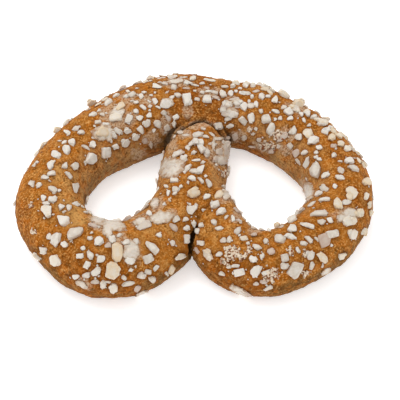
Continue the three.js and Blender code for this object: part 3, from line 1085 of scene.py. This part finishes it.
# Materials.
class Finish:
    """A material's nodes, added one at a time. An input is a number, a colour or another node's socket."""

    def __init__(self, name):
        self.material = bpy.data.materials.new(name)
        self.material.use_nodes = True
        self.tree = self.material.node_tree
        self.tree.nodes.clear()

    def add(self, kind, inputs=(), **settings):
        made = self.tree.nodes.new("ShaderNode" + kind)
        for name, value in settings.items():
            setattr(made, name, value)
        for name, value in dict(inputs).items():
            if isinstance(value, bpy.types.NodeSocket):
                self.tree.links.new(value, made.inputs[name])
            else:
                made.inputs[name].default_value = value
        return made

    def place(self):
        return self.add("TexCoord").outputs["Object"]

    def flattened(self, times):
        """The place, measured so that what is laid out by it is drawn out level, this many times."""
        inputs = {"Vector": self.place(), "Scale": (1, 1, times)}
        return self.add("Mapping", inputs).outputs["Vector"]

    def painted(self, name):
        return self.add("Attribute", attribute_name=name).outputs["Fac"]

    def noise(self, size, detail=2.0, roughness=0.5, where=None):
        inputs = {"Vector": where or self.place(), "Scale": 1 / size}
        inputs.update({"Detail": detail, "Roughness": roughness})
        return self.add("TexNoise", inputs).outputs["Fac"]

    def cells(self, size):
        inputs = {"Vector": self.place(), "Scale": 1 / size}
        return self.add("TexVoronoi", inputs).outputs["Distance"]

    def ramp(self, value, low, high, bottom=0.0, top=1.0):
        """Changes smoothly from bottom, where the value is low, to top, where it is high."""
        inputs = {"Value": value, "From Min": low, "From Max": high, "To Min": bottom, "To Max": top}
        return self.add("MapRange", inputs, interpolation_type="SMOOTHSTEP").outputs["Result"]

    def mix(self, share, first, second):
        """A share of the second colour in the first. A Mix node's colour sockets go by number."""
        inputs = {0: share, 6: first, 7: second}
        return self.add("Mix", inputs, data_type="RGBA", clamp_factor=True).outputs[2]

    def tint(self, base, tone, value, low, high, most):
        """The base with another tone over it, from none of it where the value is low to the most."""
        return self.mix(self.ramp(value, low, high, 0.0, most), base, tone)

    def sum(self, first, second):
        return self.add("Math", {0: first, 1: second}, operation="ADD").outputs[0]

    def product(self, first, second):
        return self.add("Math", {0: first, 1: second}, operation="MULTIPLY").outputs[0]

    def bump(self, height, depth, strength=1.0, over=None):
        inputs = {"Height": height, "Distance": depth, "Strength": strength}
        if over is not None:
            inputs["Normal"] = over
        return self.add("Bump", inputs).outputs["Normal"]

    def finish(self, **inputs):
        named = {name.replace("_", " "): value for name, value in inputs.items()}
        shader = self.add("BsdfPrincipled", named)
        output = self.add("OutputMaterial")
        self.tree.links.new(shader.outputs["BSDF"], output.inputs["Surface"])
        return self.material


def baked_colour(made, edge):
    """The crust's broad colours, by how far it browned, which way it faces and where it toasted."""
    base = made.mix(made.ramp(edge, 0.15, 0.85), OLIVE_FLANK, GOLDEN_CREST)
    sheltered = made.painted("sheltered")
    base = made.mix(made.product(sheltered, 0.6), base, SHELTERED_TAN)
    outer = made.product(made.ramp(edge, 0.65, 0.15), made.ramp(sheltered, 0.3, 0.0))
    base = made.mix(made.product(outer, 0.55), base, FLANK_BROWN)
    toasted = made.sum(made.painted("toasted"), made.ramp(made.noise(14 * MM), 0.35, 0.7, -0.3, 0.35))
    base = made.tint(base, TOASTED_BROWN, toasted, 0.1, 1.0, 0.9)
    return made.tint(base, PALE_TAN, toasted, -0.1, -1.0, 0.8)


def flecked(made, base, edge, mottle, grain):
    """The crust's colour with its dull and amber spots, light and dark flecks and fine grain."""
    dull = made.noise(4 * MM, 3.0, 0.6)
    base = made.tint(base, OLIVE_FLANK, dull, 0.5, 0.66, 0.5)
    base = made.tint(base, PALE_TAN, dull, 0.46, 0.34, 0.35)
    amber = made.noise(2.6 * MM, 3.0, 0.6)
    base = made.tint(base, ORANGE_FLECK, amber, 0.48, 0.62, 0.5)
    fleck = made.mix(made.ramp(edge, 0.1, 0.7), DULL_FLECK, LIGHT_FLECK)
    base = made.tint(base, fleck, mottle, 0.52, 0.72, 0.55)
    base = made.tint(base, DARK_FLECK, mottle, 0.48, 0.32, 0.75)
    coarse = made.ramp(made.noise(5.5 * MM), 0.36, 0.62, 0.55, 1.0)
    base = made.mix(made.product(made.ramp(grain, 0.52, 0.64, 0.0, 0.72), coarse), base, fleck)
    return made.mix(made.product(made.ramp(grain, 0.47, 0.34, 0.0, 0.62), coarse), base, DARK_FLECK)


def browned_below(made, base, edge, wide):
    """The crust's colour with level streaks low on its sides, and the foot beside the tray, tray-browned
    and darkened with painted shadow.
    """
    low = made.ramp(edge, 0.45, 0.05)
    streaks = made.noise(2.4 * MM, 3.0, 0.6, where=made.flattened(4))
    base = made.mix(made.product(low, made.ramp(streaks, 0.5, 0.66, 0.0, 0.7)), base, STREAK_BROWN)
    base = made.mix(made.product(low, made.ramp(streaks, 0.46, 0.34, 0.0, 0.35)), base, DULL_FLECK)
    tray_browning_and_shadow = made.product(made.painted("tray_browning_and_shadow"), made.ramp(wide, 0.3, 0.7, 0.6, 1.0))
    # The dark foot beside the tray: tray browning and painted shadow together.
    return made.mix(made.product(tray_browning_and_shadow, 0.8), base, TRAY_BROWN_AND_SHADOW)


def stained_and_shaded(made, base, mottle, grain, pores):
    """The crust's colour: painted shade in pores and creases, caramelised sugar and painted shade by the
    nibs, and haze of melted sugar.
    """
    # Painted shade in the pores.
    base = made.tint(base, PORE_SHADE_BROWN, pores, 0.24, 0.08, 0.3)
    # Darker brown beside the nibs: partly caramelised sugar, partly painted contact shade.
    caramel_and_shade = made.product(made.painted("caramel_and_nib_shade"), made.ramp(mottle, 0.3, 0.65, 0.3, 0.75))
    base = made.mix(caramel_and_shade, base, CARAMEL_AND_NIB_SHADE)
    hazed = made.ramp(made.painted("hazed"), 0.0, 0.4)
    base = made.mix(made.product(hazed, made.ramp(grain, 0.4, 0.6, 0.15, 0.75)), base, HAZE_GREY)
    # Painted shade: dark brown in the creases and cracks.
    return made.tint(base, CREASE_SHADOW_BROWN, made.painted("crease"), 0.15, 0.8, 0.9)


def crust_material():
    """Baked crust: golden brown on top, tan by the openings, brown low outside, mottled and pored."""
    made = Finish("baked_crust")
    wide = made.noise(9 * MM, 3.0, 0.6)
    mottle = made.noise(1.7 * MM, 4.0, 0.65)
    grain = made.noise(0.62 * MM, 3.0, 0.6)
    pores = made.cells(1.15 * MM)
    edge = made.sum(made.painted("browned"), made.ramp(wide, 0.3, 0.7, -0.22, 0.22))
    base = flecked(made, baked_colour(made, edge), edge, mottle, grain)
    base = browned_below(made, base, edge, wide)
    base = stained_and_shaded(made, base, mottle, grain, pores)
    relief = made.bump(grain, 0.4 * MM)
    relief = made.bump(made.ramp(pores, 0.05, 0.3), 0.18 * MM, 0.7, over=relief)
    rough = made.ramp(mottle, 0.3, 0.7, 0.6, 0.78)
    return made.finish(Base_Color=base, Roughness=rough, Specular_IOR_Level=0.04, Normal=relief)


def sugar_material(name, bright, dull):
    """Sugar grains: from bright to dull, each in its own tone, finely crystalline."""
    made = Finish(name)
    cloud = made.noise(1.3 * MM, 3.0, 0.6)
    tone = made.sum(made.painted("tone"), made.ramp(cloud, 0.3, 0.7, -0.35, 0.35))
    base = made.mix(made.ramp(tone, 0.0, 1.0), bright, dull)
    base = made.tint(base, bright, made.painted("inner"), 0.3, 1.0, 0.5)
    base = made.tint(base, SUGAR_BASE, made.painted("high"), 0.6, 0.0, 0.5)
    crystals = made.cells(0.32 * MM)
    base = made.tint(base, SUGAR_SHADE, crystals, 0.5, 0.15, 0.22)
    relief = made.bump(made.noise(0.5 * MM, 3.0, 0.6), 0.12 * MM, 0.7)
    relief = made.bump(crystals, 0.05 * MM, 0.5, over=relief)
    rough = made.ramp(cloud, 0.3, 0.7, 0.42, 0.62)
    return made.finish(Base_Color=base, Roughness=rough, Specular_IOR_Level=0.4, Normal=relief,
                       Subsurface_Weight=0.3, Subsurface_Radius=(1.0, 0.8, 0.6),
                       Subsurface_Scale=0.8 * MM)


def melted_material():
    """Melted sugar: grey-white where it is thick, brown where the crust shows through."""
    made = Finish("melted_film")
    cloud = made.noise(1.2 * MM, 4.0, 0.65)
    cover = made.sum(made.painted("thick"), made.ramp(cloud, 0.3, 0.7, -0.22, 0.22))
    base = made.mix(made.ramp(cover, -0.05, 0.35), FILM_BROWN, FILM_GREY)
    base = made.tint(base, FILM_WHITE, cover, 0.25, 0.65, 0.9)
    relief = made.bump(made.noise(0.6 * MM, 3.0, 0.6), 0.12 * MM, 0.6)
    return made.finish(Base_Color=base, Roughness=0.34, Specular_IOR_Level=0.5, Normal=relief,
                       Subsurface_Weight=0.3, Subsurface_Radius=(1.0, 0.75, 0.5),
                       Subsurface_Scale=0.8 * MM)


def bubbled_material():
    """Bubbled sugar: cream-white on the walls between its pits, toasted brown down in them."""
    made = Finish("bubbled_crust")
    cloud = made.noise(0.8 * MM, 3.0, 0.6)
    height = made.sum(made.painted("raised"), made.ramp(cloud, 0.3, 0.7, -0.06, 0.06))
    base = made.mix(made.ramp(height, -0.12, 0.08), BUBBLE_BROWN, BUBBLE_WHITE)
    edge = made.sum(made.painted("thick"), made.ramp(cloud, 0.3, 0.7, -0.2, 0.2))
    base = made.tint(base, BUBBLE_BROWN, edge, 0.22, 0.05, 0.9)
    relief = made.bump(made.noise(0.3 * MM, 3.0, 0.6), 0.08 * MM, 0.6)
    return made.finish(Base_Color=base, Roughness=0.5, Specular_IOR_Level=0.4, Normal=relief)


def floor_material():
    made = Finish("pale_floor")
    shade = made.mix(made.ramp(made.noise(40 * MM), 0.3, 0.7), FLOOR_WHITE, FLOOR_OFF_WHITE)
    return made.finish(Base_Color=shade, Roughness=0.9, Specular_IOR_Level=0.1,
                       Emission_Color=FLOOR_WHITE, Emission_Strength=FLOOR_GLOW)


# The studio.
def lay_floor():
    bpy.ops.object.select_all(action="DESELECT")
    bpy.ops.mesh.primitive_plane_add(size=FLOOR_WIDTH, location=(0, 0, -FLOOR_GAP))
    floor = bpy.context.active_object
    floor.name = "floor"
    floor.data.materials.append(floor_material())


def light_studio():
    world = bpy.data.worlds.new("studio")
    bpy.context.scene.world = world
    world.use_nodes = True
    sky = world.node_tree.nodes["Background"]
    sky.inputs["Color"].default_value = SKY_COLOUR
    sky.inputs["Strength"].default_value = SKY_STRENGTH
    light = bpy.data.lights.new("softbox_above", "AREA")
    light.shape = "DISK"
    light.size = SOFTBOX_WIDTH
    light.energy = SOFTBOX_POWER
    softbox = bpy.data.objects.new("softbox_above", light)
    bpy.context.scene.collection.objects.link(softbox)
    softbox.location = SOFTBOX_PLACE
    softbox.rotation_euler = (-Vector(SOFTBOX_PLACE)).to_track_quat("-Z", "Y").to_euler()


def set_camera():
    lens = bpy.data.cameras.new("camera")
    lens.sensor_width = SENSOR_WIDTH
    lens.lens = SENSOR_WIDTH * CAMERA_DISTANCE / WIDTH_SEEN
    lens.clip_start = NEAREST_SEEN
    camera = bpy.data.objects.new("camera", lens)
    bpy.context.scene.collection.objects.link(camera)
    camera.location = CAMERA_PLACE
    camera.rotation_euler = CAMERA_BACK.to_track_quat("Z", "Y").to_euler()
    bpy.context.scene.camera = camera
    bpy.context.scene.view_settings.view_transform = "Standard"


def main():
    set_camera()
    light_studio()
    lay_floor()
    sprinkle_sugar(shape_dough())


main()
